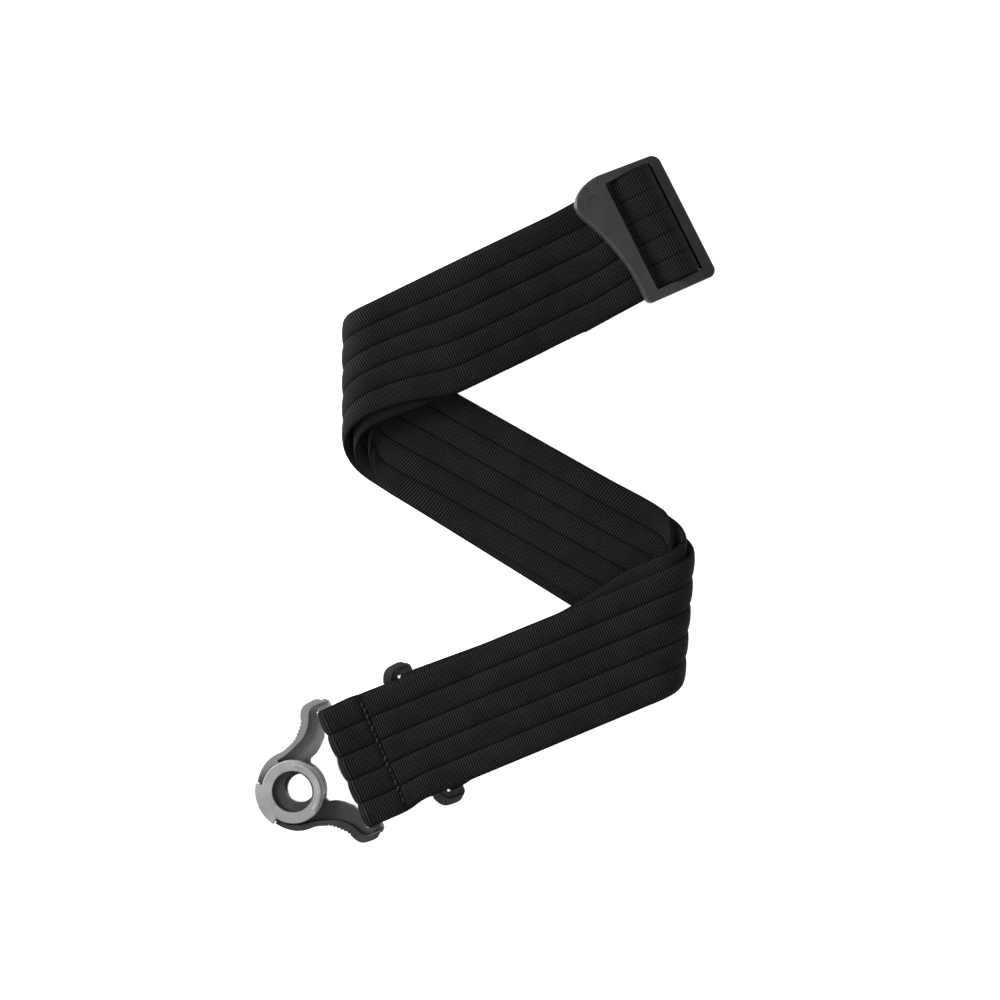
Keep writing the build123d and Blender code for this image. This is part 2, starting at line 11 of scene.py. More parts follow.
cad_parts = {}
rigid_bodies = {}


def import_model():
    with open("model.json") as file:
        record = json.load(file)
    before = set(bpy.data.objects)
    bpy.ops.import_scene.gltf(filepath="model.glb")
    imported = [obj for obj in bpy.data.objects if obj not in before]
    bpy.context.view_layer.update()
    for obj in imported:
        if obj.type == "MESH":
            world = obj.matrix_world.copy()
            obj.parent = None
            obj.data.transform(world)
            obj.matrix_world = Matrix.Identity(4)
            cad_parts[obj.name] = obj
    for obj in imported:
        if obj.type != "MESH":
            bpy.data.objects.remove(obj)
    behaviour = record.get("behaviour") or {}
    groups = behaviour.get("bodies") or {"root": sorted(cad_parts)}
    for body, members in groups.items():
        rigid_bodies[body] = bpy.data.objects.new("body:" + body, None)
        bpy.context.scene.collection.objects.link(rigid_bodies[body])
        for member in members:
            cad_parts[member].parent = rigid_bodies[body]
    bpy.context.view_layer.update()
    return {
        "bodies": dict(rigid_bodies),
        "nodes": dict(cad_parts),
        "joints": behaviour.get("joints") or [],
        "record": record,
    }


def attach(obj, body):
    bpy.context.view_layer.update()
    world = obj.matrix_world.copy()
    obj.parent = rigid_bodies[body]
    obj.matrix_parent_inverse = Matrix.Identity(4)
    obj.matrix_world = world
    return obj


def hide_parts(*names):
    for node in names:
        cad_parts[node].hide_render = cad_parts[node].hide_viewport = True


MM = 0.001

# Webbing, in millimetres as in the part, whose layout is moved by OUTLINE_MIDDLE to the frame
OUTLINE_MIDDLE = (0.11, -0.38)
WEB_WIDTH = 50.0
HALF = WEB_WIDTH / 2
WEB_THICK = 2.4
LAYER_PITCH = 2.6  # from one layer's middle to the next one's

# Folds of the Z, whose bend lines run nearly along Y
FOLD_OPENING = 2.6  # free height inside the innermost layer
FOLD_STEPS = 16
RAMP_STEPS = 9
MIDDLE_STEPS = 5
RIGHT_FOLD_LEAN = 0.08  # sideways lean of the right bend line, per mm of Y
LEVEL_FROM_X = 36.0  # the bottom segment lies level on the middle one from here to the fold
LEVEL_BETWEEN_X = (48.0, 60.0)
LEVEL_TO_X = -16.0  # the upper segment lies level from the fold to here

# Bars that the webbing goes round: X, Y and Z of their middles, and turns in degrees
LOCK_YAW = 23.6
LOCK_A_BAR = (-56.1, -112.0, 13.2)
LOCK_A_TILT = 13.9
LOCK_B_BAR = (-22.0, -97.0, 4.0)
LOCK_LOOP_R = 2.8
LOCK_WEB_HALF = 26.35
SLIDER_YAW = 26.6
TAIL_YAW = 28.7
SLIDER_BAR = (72.7, 114.3, 6.75)
SLIDER_WEB_HALF = 24.6
SLIDER_LOOP_R = 2.9
SLIDER_WRAP_R = SLIDER_LOOP_R + LAYER_PITCH + 0.35
WINDOW_FROM = -14.7  # the window's edge, from the slider's bar towards the folds
LOCK_TURN_ANGLES = range(270, 89, -15)
WRAP_ANGLES = range(90, -91, -15)

# Sewn ends, by their distance from a bar
SEAM_A_FROM_BAR = 15.0
TAIL_A_FROM_BAR = 20.5
SEAM_A_Z = 14.0
SEAM_WEB_HALF = 26.3
SLIDER_TAIL = 49.0
TAIL_SAG_AT = 32.0
SLIDER_SEAM_FROM_BAR = 38.0

# Heights of the layers' middles and of the runs between the bars and the folds
REST_Z = 0.05
MIDDLE_Z = [WEB_THICK / 2 + REST_Z + LAYER_PITCH * layer for layer in range(3)]
TOP_Z = [2 * MIDDLE_Z[2] + FOLD_OPENING + WEB_THICK - z for z in MIDDLE_Z]
TAIL_Z = MIDDLE_Z[2] + 0.2
TAIL_BEND_A = -7.0  # from the slider's bar, along the slider
TAIL_BEND_Z = SLIDER_BAR[2] + SLIDER_LOOP_R - 1.3
FRONT_LOW_Z = TAIL_Z + LAYER_PITCH + 0.5
# Each run's two ends near the bars, as X and Z
FRONT_ENDS = ((-18.0, SEAM_A_Z), (45.0, FRONT_LOW_Z))
RETURN_ENDS = ((4.0, LOCK_B_BAR[2] + LOCK_LOOP_R), (22.0, MIDDLE_Z[1]))
BACK_ENDS = ((4.0, LOCK_B_BAR[2] - LOCK_LOOP_R), (22.0, MIDDLE_Z[0]))

# The webbing's section
CHANNELS = 5
CHANNEL_SAMPLES = 8
SEAM_HALF = 0.3  # half the thickness between two channels
CROWN_HALF = 1.28  # and at a channel's middle
CROWN_FLATNESS = 2.4
CROWN_FULLNESS = 0.6
EDGE_INSET = 0.35
RIB_PITCH = 1.05
SEAM_REACH = 1.5  # how far a row of stitches presses the channels in
SEAM_PINCH = 0.75
WRAP_SEAM_HALF = 1.15  # half the thickness between channels where they spread round the slider
WRAP_REACH = 12.0
LONG_BULGE = (0.10, 23.0)  # share of the thickness that a channel swells by, and over what length
SHORT_BULGE = (0.05, 6.0)

# Steps along the webbing's course
DENSE_STEP = 0.25
LONGEST_STEP = 1.7
STEP_ANGLE = 0.18  # radians
DRIFT_REACH = 35  # how far the ribs' slant is averaged, each way

# Sewing
STITCH_PITCH = 2.7
STITCH_MARGIN = 2.6
STITCH_LENGTH = 2.6
STITCH_R = 0.68
STITCH_WANDER = 0.6
STITCH_SLANT = 0.25
STITCH_SWING = 1.5
STITCH_LENGTH_CHANGE = 0.4
STITCH_R_CHANGE = 0.25
STITCH_LIFT = 0.05
LOOSE_THREAD = (
    (-40.6, -111.0), (-38.0, -108.2), (-34.0, -105.6), (-29.6, -103.9), (-26.6, -103.4), (-24.7, -102.4),
)
LOOSE_THREAD_R = 0.11
LOOSE_THREAD_LIFT = 0.3
LOOSE_THREAD_STEPS = 40
ABOVE_ALL_Z = 30.0
ABOVE_TAIL_Z = TAIL_Z + 1.35  # over the slider's seam, but under the run in front of it

# Where painted light and shade go on the plastic: X and Y in the frame, and distances from there
LOCK_A_HOLE = (-79.95, -122.0)
# painted shade inside the lock's hole reaches out to this radius
BORE_SHADE_R = 8.75
# painted light on the locks' outer side, where the side lamp falls, fades in round here
PAINTED_LIT_SIDE = (-84.0, -111.0)
PAINTED_LIT_REACH = 3.5
# painted shade fades in over this reach towards the slider's far bar
SLIDER_PAINTED_SHADE_REACH = 16.0

# Camera: straight above the strap, from far enough for a long lens
VIEW_MIDDLE = (6.29, -0.52)
VIEW_FIELD = 416.7
CAMERA_HEIGHT = 2.5  # metres, as the next two
OBJECT_HEIGHT = 0.010
FLOOR_DROP = 0.0003
SENSOR = 36.0


# ---- camera, floor and light ----


def make_camera():
    """Camera looking straight down with the photograph's framing."""
    data = bpy.data.cameras.new("camera")
    data.sensor_width = SENSOR
    data.lens = SENSOR * (CAMERA_HEIGHT - OBJECT_HEIGHT) / (VIEW_FIELD * MM)
    data.clip_end = 50
    camera = bpy.data.objects.new("camera", data)
    camera.location = (VIEW_MIDDLE[0] * MM, VIEW_MIDDLE[1] * MM, CAMERA_HEIGHT)
    bpy.context.scene.collection.objects.link(camera)
    bpy.context.scene.camera = camera


def area_light(name, location, size, watts):
    """Square soft light aimed at the strap."""
    data = bpy.data.lights.new(name, "AREA")
    data.size = size
    data.energy = watts
    lamp = bpy.data.objects.new(name, data)
    lamp.location = location
    lamp.rotation_euler = Vector(location).to_track_quat("Z", "Y").to_euler()
    bpy.context.scene.collection.objects.link(lamp)


def make_stage():
    """Pale floor, soft lights and an even pale sky."""
    bpy.ops.mesh.primitive_plane_add(size=6, location=(0, 0, -FLOOR_DROP))
    floor = bpy.context.object
    floor.name = "floor"
    floor.data.materials.append(floor_material())
    area_light("side_light", (-1.5, 0.5, 0.75), 0.9, 42)
    area_light("fill_light", (0.5, -0.4, 2.0), 1.4, 6)
    world = bpy.data.worlds.new("sky")
    bpy.context.scene.world = world
    world.use_nodes = True
    background = world.node_tree.nodes["Background"]
    background.inputs["Color"].default_value = (1, 1, 1, 1)
    background.inputs["Strength"].default_value = 0.45
    bpy.context.scene.view_settings.view_transform = "Standard"


# ---- materials ----


def add(tree, kind, settings=(), **inputs):
    """New node. Inputs are values or sockets, named with _ for a space, or n and their number."""
    node = tree.nodes.new(kind)
    for name, value in settings:
        setattr(node, name, value)
    for key, value in inputs.items():
        numbered = key[0] == "n" and key[1:].isdigit()
        socket = node.inputs[int(key[1:]) if numbered else key.replace("_", " ")]
        if isinstance(value, bpy.types.NodeSocket):
            tree.links.new(value, socket)
        else:
            socket.default_value = value
    return node


def calculate(tree, operation, first, second=0.0):
    """Math node's result."""
    return add(tree, "ShaderNodeMath", [("operation", operation)], n0=first, n1=second).outputs[0]


def scaled(tree, value, from_min, from_max, to_min, to_max):
    """Value moved smoothly from one range to another."""
    node = add(
        tree,
        "ShaderNodeMapRange",
        [("interpolation_type", "SMOOTHSTEP")],
        Value=value,
        From_Min=from_min,
        From_Max=from_max,
        To_Min=to_min,
        To_Max=to_max,
    )
    return node.outputs["Result"]


def mixed_colour(tree, share, first, second):
    """Colour between two by a share."""
    node = add(tree, "ShaderNodeMix", [("data_type", "RGBA")], n0=share, n6=first, n7=second)
    return node.outputs[2]


def speckle(tree, scale, detail=2.0):
    """Noise in the frame's coordinates."""
    place = add(tree, "ShaderNodeTexCoord").outputs["Object"]
    return add(tree, "ShaderNodeTexNoise", Vector=place, Scale=scale, Detail=detail).outputs["Fac"]


def new_material(name):
    """Material with an empty shader to fill."""
    material = bpy.data.materials.new(name)
    material.use_nodes = True
    return material, material.node_tree, material.node_tree.nodes["Principled BSDF"]


def floor_material():
    """White paper."""
    material, tree, shader = new_material("floor_white")
    shader.inputs["Base Color"].default_value = (0.93, 0.93, 0.93, 1)
    shader.inputs["Roughness"].default_value = 0.9
    shader.inputs["Specular IOR Level"].default_value = 0.1
    shader.inputs["Emission Color"].default_value = (1, 1, 1, 1)
    shader.inputs["Emission Strength"].default_value = 0.85
    return material


def webbing_material():
    """Black grosgrain: ribs across the webbing, fine threads along it, dark channel seams and painted
    shade in the pinched grooves at the rows of stitches.
    """
    material, tree, shader = new_material("webbing_black")
    place = add(tree, "ShaderNodeUVMap", [("uv_map", "Weave")]).outputs["UV"]
    parts = add(tree, "ShaderNodeSeparateXYZ", Vector=place)
    across, along = parts.outputs["X"], parts.outputs["Y"]
    wander = calculate(tree, "MULTIPLY", speckle(tree, 220.0), 0.5)
    phase = calculate(tree, "MULTIPLY", calculate(tree, "ADD", along, wander), 2 * math.pi)
    wave = calculate(tree, "SINE", phase)
    rib = add(tree, "ShaderNodeMath", [("operation", "MULTIPLY_ADD")], n0=wave, n1=0.5, n2=0.5).outputs[0]
    threads_per_channel = 16
    turns = calculate(tree, "MULTIPLY", across, 2 * math.pi * threads_per_channel)
    threads = calculate(tree, "SINE", turns)
    groove = scaled(tree, calculate(tree, "PINGPONG", across, 0.5), 0.0, 0.055, 0.0, 1.0)
    fuzz = speckle(tree, 2600.0, 3.0)
    patches = speckle(tree, 90.0, 3.0)
    height = calculate(tree, "ADD", rib, calculate(tree, "MULTIPLY", threads, 0.10))
    height = calculate(tree, "ADD", height, calculate(tree, "MULTIPLY", fuzz, 0.30))
    bump = add(tree, "ShaderNodeBump", Strength=0.9, Distance=0.00020, Height=height)
    light = calculate(tree, "MULTIPLY", calculate(tree, "POWER", rib, 1.5), groove)
    light = calculate(tree, "MULTIPLY", light, scaled(tree, patches, 0.3, 0.7, 0.75, 1.15))
    # painted shade: the webbing is darkened where a row of stitches pinches the channels in
    sewn = add(tree, "ShaderNodeAttribute", [("attribute_name", "Sewn")]).outputs["Fac"]
    light = calculate(tree, "MULTIPLY", light, scaled(tree, sewn, 0.1, 0.9, 1.0, 0.25))
    colour = mixed_colour(tree, light, (0.0028, 0.0026, 0.0029, 1), (0.027, 0.0255, 0.028, 1))
    tree.links.new(colour, shader.inputs["Base Color"])
    tree.links.new(bump.outputs["Normal"], shader.inputs["Normal"])
    tree.links.new(scaled(tree, fuzz, 0.2, 0.8, 0.62, 0.85), shader.inputs["Roughness"])
    shader.inputs["Specular IOR Level"].default_value = 0.05
    shader.inputs["Sheen Weight"].default_value = 0.03
    shader.inputs["Sheen Roughness"].default_value = 0.4
    shader.inputs["Sheen Tint"].default_value = (0.75, 0.78, 0.85, 1)
    return material


def painted_light_fade(tree, body, other_colour, middle, yaw, reach):
    """Painted light and shade: body fading to the other colour past middle in the yaw's direction, within
    reach, so one side of a part looks more lit than the other.
    """
    direction = (math.cos(math.radians(yaw)), math.sin(math.radians(yaw)), 0)
    place = add(tree, "ShaderNodeTexCoord").outputs["Object"]
    distance = add(
        tree, "ShaderNodeVectorMath", [("operation", "DOT_PRODUCT")], n0=place, n1=direction
    ).outputs["Value"]
    centre = (middle[0] * direction[0] + middle[1] * direction[1]) * MM
    share = scaled(tree, distance, centre - reach * MM, centre + reach * MM, 0.0, 1.0)
    return mixed_colour(tree, share, body, (*other_colour, 1))


def painted_bore_shade(tree, body, middle, radius):
    """Painted shade: body made dark inside an upright cylinder, standing in for the shade on the wall of
    a hole.
    """
    soft = 0.2
    place = add(tree, "ShaderNodeTexCoord").outputs["Object"]
    flat = add(tree, "ShaderNodeVectorMath", [("operation", "MULTIPLY")], n0=place, n1=(1, 1, 0))
    centre = (middle[0] * MM, middle[1] * MM, 0)
    distance = add(
        tree, "ShaderNodeVectorMath", [("operation", "DISTANCE")], n0=flat.outputs["Vector"], n1=centre
    ).outputs["Value"]
    share = scaled(tree, distance, (radius - soft) * MM, (radius + soft) * MM, 0.0, 1.0)
    return mixed_colour(tree, share, (0.03, 0.029, 0.03, 1), body)


def plastic(name, colour, roughness, painted_fade=None, bore_shade=None):
    """Moulded plastic with a fine grain and faint colour and gloss changes, and optionally painted light
    and shade across it and painted shade in a bore.
    """
    material, tree, shader = new_material(name)
    grain = speckle(tree, 3500.0, 3.0)
    clouds = speckle(tree, 120.0, 4.0)
    bump = add(tree, "ShaderNodeBump", Strength=0.25, Distance=0.00003, Height=grain)
    darker = tuple(c * 0.86 for c in colour) + (1,)
    lighter = tuple(c * 1.12 for c in colour) + (1,)
    tone = scaled(tree, clouds, 0.3, 0.7, 0.0, 1.0)
    body = mixed_colour(tree, tone, darker, lighter)
    # painted light and shade fading across the part
    if painted_fade:
        body = painted_light_fade(tree, body, *painted_fade)
    # painted shade on the wall of a hole
    if bore_shade:
        body = painted_bore_shade(tree, body, *bore_shade)
    tree.links.new(body, shader.inputs["Base Color"])
    gloss = scaled(tree, clouds, 0.25, 0.75, roughness - 0.05, roughness + 0.06)
    tree.links.new(gloss, shader.inputs["Roughness"])
    tree.links.new(bump.outputs["Normal"], shader.inputs["Normal"])
    return material


def thread_material():
    """Bonded sewing thread with a faint twist."""
    material, tree, shader = new_material("thread_black")
    place = add(tree, "ShaderNodeTexCoord").outputs["Object"]
    twist = add(
        tree, "ShaderNodeTexWave", Vector=place, Scale=900.0, Distortion=2.0, Detail=2.0
    ).outputs["Fac"]
    bump = add(tree, "ShaderNodeBump", Strength=0.6, Distance=0.00008, Height=twist)
    colour = mixed_colour(tree, twist, (0.0015, 0.0015, 0.0017, 1), (0.012, 0.0117, 0.012, 1))
    tree.links.new(colour, shader.inputs["Base Color"])
    tree.links.new(bump.outputs["Normal"], shader.inputs["Normal"])
    shader.inputs["Roughness"].default_value = 0.55
    shader.inputs["Specular IOR Level"].default_value = 0.25
    return material


def steel_material():
    """Drawn spring wire."""
    material, tree, shader = new_material("steel_drawn")
    streaks = speckle(tree, 1500.0, 2.0)
    colour = mixed_colour(tree, streaks, (0.42, 0.42, 0.43, 1), (0.62, 0.62, 0.63, 1))
    tree.links.new(colour, shader.inputs["Base Color"])
    tree.links.new(scaled(tree, streaks, 0.2, 0.8, 0.25, 0.4), shader.inputs["Roughness"])
    shader.inputs["Metallic"].default_value = 1.0
    return material


# ---- the webbing's course ----


def ease(share):
    """Smooth step from 0 to 1."""
    return share * share * (3 - 2 * share)


class Stretch:
    """A straight stretch of webbing in plan, by two points of its middle line.

    Near a fold one of its edges, 0 for the low one or 1 for the high one, is moved up by lift:
    wholly at full_x and beyond it, and not at all from none_x on.
    """

    def __init__(self, start, end, edge=0, lift=0.0, full_x=0.0, none_x=1.0):
        self.slope = (end[1] - start[1]) / (end[0] - start[0])
        self.start = start
        self.half = HALF * math.hypot(1, self.slope)
        self.edge = edge
        self.lift = lift
        self.full_x = full_x
        self.none_x = none_x

    def edges(self, x, lean=0.0, lean_y=0.0):
        """Both edges where a line through (x, lean_y) that leans by lean crosses the webbing."""
        found = []
        for side in (-self.half, self.half):
            height = self.start[1] + side + self.slope * (x - lean * lean_y - self.start[0])
            y = height / (1 - self.slope * lean)
            found.append((x + lean * (y - lean_y), y))
        share = min(max((x - self.full_x) / (self.none_x - self.full_x), 0), 1)
        edge_x, edge_y = found[self.edge]
        found[self.edge] = (edge_x, edge_y + self.lift * (1 - ease(share)))
        return found


BOTTOM_LINE = Stretch((-35.4, -102.6), (47.9, -67.8))
INNER_BOTTOM_LINE = Stretch((-35.4, -102.6), (47.9, -67.8), 1, 6.5, 62.0, 30.0)
UPPER_LINE = Stretch((-35.4, 59.4), (47.9, 100.0), 0, 9.0, -46.0, -6.0)
INNER_UPPER_LINE = Stretch((-35.4, 59.4), (47.9, 100.0), 0, 3.5, -46.0, -6.0)
RUNS = [
    {
        "bottom": BOTTOM_LINE,
        "middle": Stretch((-47.3, 36.1), (76.1, -40.6)),
        "upper": UPPER_LINE,
        "left": (-47.3, 11.0),
        "right": (71.5, 13.6),
    },
    {
        "bottom": INNER_BOTTOM_LINE,
        "middle": Stretch((-45.7, 34.6), (75.0, -35.2)),
        "upper": INNER_UPPER_LINE,
        "left": (-45.7, 8.0),
        "right": (72.5, 9.4),
    },
    {
        "bottom": INNER_BOTTOM_LINE,
        "middle": Stretch((-42.4, 32.3), (71.7, -31.9)),
        "upper": INNER_UPPER_LINE,
        "left": (-42.4, 5.0),
        "right": (71.7, 5.0),
    },
]


def station(edges, z):
    """One line across the webbing's middle surface: its lower and upper edge points."""
    return [(x, y, z) for x, y in edges]


def hermite(start, end, start_slope, end_slope, share):
    """Cubic from start to end with the given slopes per unit of share."""
    square, cube = share**2, share**3
    return (
        start * (2 * cube - 3 * square + 1)
        + start_slope * (cube - 2 * square + share)
        + end * (3 * square - 2 * cube)
        + end_slope * (cube - square)
    )


def fold(top_edges, low_edges, top_slope, low_slope, bulge, heights):
    """Stations round a half-turn from the top layer's edges to the lower layer's."""
    stations = []
    z_middle = (heights[0] + heights[1]) / 2
    z_radius = (heights[0] - heights[1]) / 2
    run = math.pi * bulge
    for step in range(1, FOLD_STEPS):
        share = step / FOLD_STEPS
        angle = math.pi * share
        edges = []
        for top, low in zip(top_edges, low_edges):
            y = hermite(top[1], low[1], top_slope * run, -low_slope * run, share)
            x = top[0] + (low[0] - top[0]) * share + bulge * math.sin(angle)
            edges.append((x, y))
        stations.append(station(edges, z_middle + z_radius * math.cos(angle)))
    return stations


def ramp(line, x_from, x_to, z_from, z_to, lean, lean_y):
    """Stations along a line whose height eases from one end's to the other's."""
    stations = []
    for step in range(RAMP_STEPS + 1):
        share = step / RAMP_STEPS
        x = x_from + (x_to - x_from) * share
        z = z_from + (z_to - z_from) * ease(share)
        stations.append(station(line.edges(x, lean, lean_y), z))
    return stations


def z_course(layer, bottom_start, upper_end):
    """Stations of one layer from the locks' end, through both folds, to the slider's end."""
    run = RUNS[layer]
    middle_z, top_z = MIDDLE_Z[layer], TOP_Z[layer]
    left_x, left_bulge = run["left"]
    right_x, right_bulge = run["right"]
    right_y = run["middle"].edges(right_x)[0][1] + HALF
    lean = (RIGHT_FOLD_LEAN, right_y)
    bottom = ramp(run["bottom"], bottom_start[0], LEVEL_FROM_X, bottom_start[1], top_z, *lean)
    bottom += [station(run["bottom"].edges(x, *lean), top_z) for x in (*LEVEL_BETWEEN_X, right_x)]
    right = fold(
        run["bottom"].edges(right_x, *lean),
        run["middle"].edges(right_x, *lean),
        run["bottom"].slope,
        run["middle"].slope,
        right_bulge,
        (top_z, middle_z),
    )
    middle = [station(run["middle"].edges(right_x, *lean), middle_z)]
    for step in range(1, MIDDLE_STEPS + 1):
        share = step / MIDDLE_STEPS
        x = right_x + (left_x - right_x) * share
        edges = run["middle"].edges(x, RIGHT_FOLD_LEAN * (1 - share), right_y)
        middle.append(station(edges, middle_z))
    left = fold(
        run["upper"].edges(left_x),
        run["middle"].edges(left_x),
        run["upper"].slope,
        run["middle"].slope,
        -left_bulge,
        (top_z, middle_z),
    )
    upper = [
        station(run["upper"].edges(x), top_z) for x in (left_x, (left_x + LEVEL_TO_X) / 2)
    ]
    upper += ramp(run["upper"], LEVEL_TO_X, upper_end[0], top_z, upper_end[1], 0.0, 0.0)
    return bottom + right + middle + left[::-1] + upper


def axes_of(yaw, tilt=0.0):
    """Unit vectors along the part's length, across it and out of its front."""
    turn, lean = math.radians(yaw), math.radians(tilt)
    along = Vector((math.cos(turn) * math.cos(lean), math.sin(turn) * math.cos(lean), math.sin(lean)))
    across = Vector((-math.sin(turn), math.cos(turn), 0))
    return along, across, along.cross(across)


def loop(centre, yaw, tilt, radius, half_width, angles):
    """Stations round a bar: angle 90 is on its front and 180 on the side away from its length."""
    along, across, out = axes_of(yaw, tilt)
    stations = []
    for angle in angles:
        turn = math.radians(angle)
        middle = Vector(centre) + (along * math.cos(turn) + out * math.sin(turn)) * radius
        stations.append((tuple(middle - across * half_width), tuple(middle + across * half_width)))
    return stations


def straight_from(centre, yaw, distance, z, half_width):
    """Station square to a part's length, at a plan distance from its bar."""
    along, across, _ = axes_of(yaw)
    middle = Vector(centre) + along * distance
    middle.z = z
    return tuple(middle - across * half_width), tuple(middle + across * half_width)


def webbing_course():
    """The strip's middle surface from its sewn end at lock A to its sewn end at the slider."""
    lock_a_end = [
        straight_from(LOCK_A_BAR, LOCK_YAW, distance, SEAM_A_Z - LAYER_PITCH, half_width)
        for distance, half_width in ((TAIL_A_FROM_BAR, HALF), (SEAM_A_FROM_BAR, SEAM_WEB_HALF))
    ]
    tail = [straight_from(SLIDER_BAR, SLIDER_YAW, TAIL_BEND_A, TAIL_BEND_Z, SLIDER_WEB_HALF)]
    tail += [
        straight_from(SLIDER_BAR, TAIL_YAW, distance, TAIL_Z, HALF)
        for distance in (WINDOW_FROM - 2, -TAIL_SAG_AT, -SLIDER_TAIL)
    ]
    return (
        lock_a_end
        + loop(LOCK_A_BAR, LOCK_YAW, LOCK_A_TILT, LOCK_LOOP_R, LOCK_WEB_HALF, LOCK_TURN_ANGLES)
        + [straight_from(LOCK_A_BAR, LOCK_YAW, SEAM_A_FROM_BAR, SEAM_A_Z, SEAM_WEB_HALF)]
        + z_course(0, *FRONT_ENDS)
        + [straight_from(SLIDER_BAR, SLIDER_YAW, WINDOW_FROM, FRONT_LOW_Z, SLIDER_WEB_HALF)]
        + loop(SLIDER_BAR, SLIDER_YAW, 0, SLIDER_WRAP_R, SLIDER_WEB_HALF, WRAP_ANGLES)
        + z_course(2, *BACK_ENDS)[::-1]
        + loop(LOCK_B_BAR, LOCK_YAW, 0, LOCK_LOOP_R, LOCK_WEB_HALF, LOCK_TURN_ANGLES)
        + z_course(1, *RETURN_ENDS)
        + loop(SLIDER_BAR, SLIDER_YAW, 0, SLIDER_LOOP_R, SLIDER_WEB_HALF, WRAP_ANGLES[::-1])
        + tail
    )


# ---- the webbing's surface ----


def lengths_along(points):
    """Distance along a line of points."""
    return np.concatenate([[0], np.cumsum(np.linalg.norm(np.diff(points, axis=0), axis=1))])


def smooth_between(places, values, wanted):
    """Smooth curve through values at places that never overshoots them, read at wanted places."""
    gaps = np.diff(places).reshape((-1,) + (1,) * (values.ndim - 1))
    rises = np.diff(values, axis=0) / gaps
    before, after = rises[:-1], rises[1:]
    same_way = before * after > 0
    weight_before = 2 * gaps[1:] + gaps[:-1]
    weight_after = gaps[1:] + 2 * gaps[:-1]
    safe_before = np.where(same_way, before, 1.0)
    safe_after = np.where(same_way, after, 1.0)
    mean = (weight_before + weight_after) / (weight_before / safe_before + weight_after / safe_after)
    slopes = np.concatenate([rises[:1], np.where(same_way, mean, 0.0), rises[-1:]])
    index = np.clip(np.searchsorted(places, wanted, side="right") - 1, 0, len(places) - 2)
    gap = gaps[index]
    share = (wanted - places[index]).reshape(gap.shape) / gap
    return hermite(
        values[index], values[index + 1], slopes[index] * gap, slopes[index + 1] * gap, share
    )


def even_course():
    """The course resampled: close together where it turns and far apart where it's straight."""
    sparse = np.array(webbing_course(), float)
    places = lengths_along(sparse.mean(axis=1))
    dense_places = np.arange(0, places[-1], DENSE_STEP)
    dense = smooth_between(places, sparse, dense_places)
    direction = np.gradient(dense.mean(axis=1), dense_places, axis=0)
    direction /= np.linalg.norm(direction, axis=1)[:, None]
    turning = np.linalg.norm(np.gradient(direction, dense_places, axis=0), axis=1)
    count = np.cumsum((1 / LONGEST_STEP + turning / STEP_ANGLE) * DENSE_STEP)
    wanted = np.interp(np.linspace(count[0], count[-1], int(count[-1])), count, dense_places)
    return smooth_between(places, sparse, wanted), wanted


def section():
    """Across the webbing: share of the width, channel coordinate and crown share of each point."""
    shares, channels, crowns = [], [], []
    pitch = (WEB_WIDTH - 2 * EDGE_INSET) / CHANNELS
    for channel in range(CHANNELS):
        for sample in range(CHANNEL_SAMPLES + (channel == CHANNELS - 1)):
            q = -math.cos(math.pi * sample / CHANNEL_SAMPLES)
            shares.append((EDGE_INSET + pitch * (channel + (q + 1) / 2)) / WEB_WIDTH)
            channels.append(channel + (q + 1) / 2)
            crowns.append((1 - abs(q) ** CROWN_FLATNESS) ** CROWN_FULLNESS)
    return np.array(shares), np.array(channels), np.array(crowns)


def rough(*coordinates):
    """Smooth noise between -1 and 1, the same each run."""
    return noise.noise(Vector(coordinates))


def crown_factor(place, channel, seams):
    """How full a channel is at a place: small changes, and pinched where it's sewn."""
    long_share, long_reach = LONG_BULGE
    short_share, short_reach = SHORT_BULGE
    factor = 1 + long_share * rough(place / long_reach, channel * 3.7, 0.5)
    factor += short_share * rough(place / short_reach, channel * 5.1, 4.5)
    return factor * (1 - SEAM_PINCH * min(seam_share(place, seams), 1.0))


def wrap_share(point):
    """1 where the webbing goes round the slider's bar, fading to 0 away from it."""
    distance = np.linalg.norm(point - np.array(SLIDER_BAR))
    return math.exp(-((distance / WRAP_REACH) ** 4))


def seam_share(place, seams):
    """1 at a row of stitches and 0 away from it."""
    return sum(math.exp(-(((place - seam) / SEAM_REACH) ** 2)) for seam in seams)


def rib_lengths(low, high, places, slants):
    """Length of webbing up to every ring at its two edges, without the slow drift between them."""
    low_lengths, high_lengths = lengths_along(low), lengths_along(high)
    lead = high_lengths - low_lengths
    even = np.arange(0, places[-1], 1.0)
    drift = np.pad(np.interp(even, places, lead - slants), DRIFT_REACH, mode="edge")
    window = 2 * DRIFT_REACH + 1
    slow = np.convolve(drift, np.ones(window) / window, mode="valid")
    lead = lead - np.interp(places, even, slow)
    middle = (low_lengths + high_lengths) / 2
    return middle - lead / 2, middle + lead / 2


